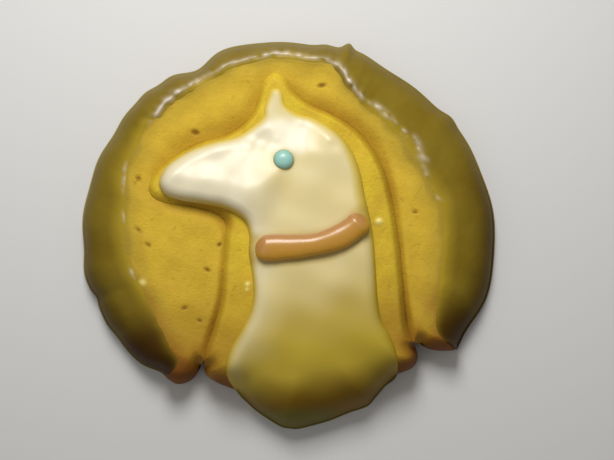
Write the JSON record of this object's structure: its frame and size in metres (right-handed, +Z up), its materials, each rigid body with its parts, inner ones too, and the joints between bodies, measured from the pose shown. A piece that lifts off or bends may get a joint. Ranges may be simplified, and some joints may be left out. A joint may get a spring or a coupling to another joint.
{
  "type": "sugar cookie",
  "caption": "Thick sugar cookie shaped as a bird with a round fanned tail, with a glazed rim, smooth icing on the bird, an icing eye and a piped collar.",
  "frame": {"origin": "middle of the cookie's outline on its flat underside", "axes": "+X to the right of the picture on the cookie, behind the bird's neck; +Y from the bird's foot to its crest; +Z up from the plate"},
  "size_m": [0.0796, 0.0747, 0.0143],
  "materials": {
    "tail_dough": "matte, fine baked crumb with small pinholes",
    "bird_dough": "matte, fine baked crumb, browned at the corners",
    "tail_glaze": "glossy sugar glaze, uneven",
    "bird_icing": "glossy poured icing",
    "eye": "glossy icing bead",
    "collar": "glossy piped icing"
  },
  "bodies": {
    "root": {"tail_dough": "tail_dough", "bird_dough": "bird_dough", "tail_glaze": "tail_glaze", "bird_icing": "bird_icing", "eye": "eye", "collar": "collar"}
  },
  "joints": []
}
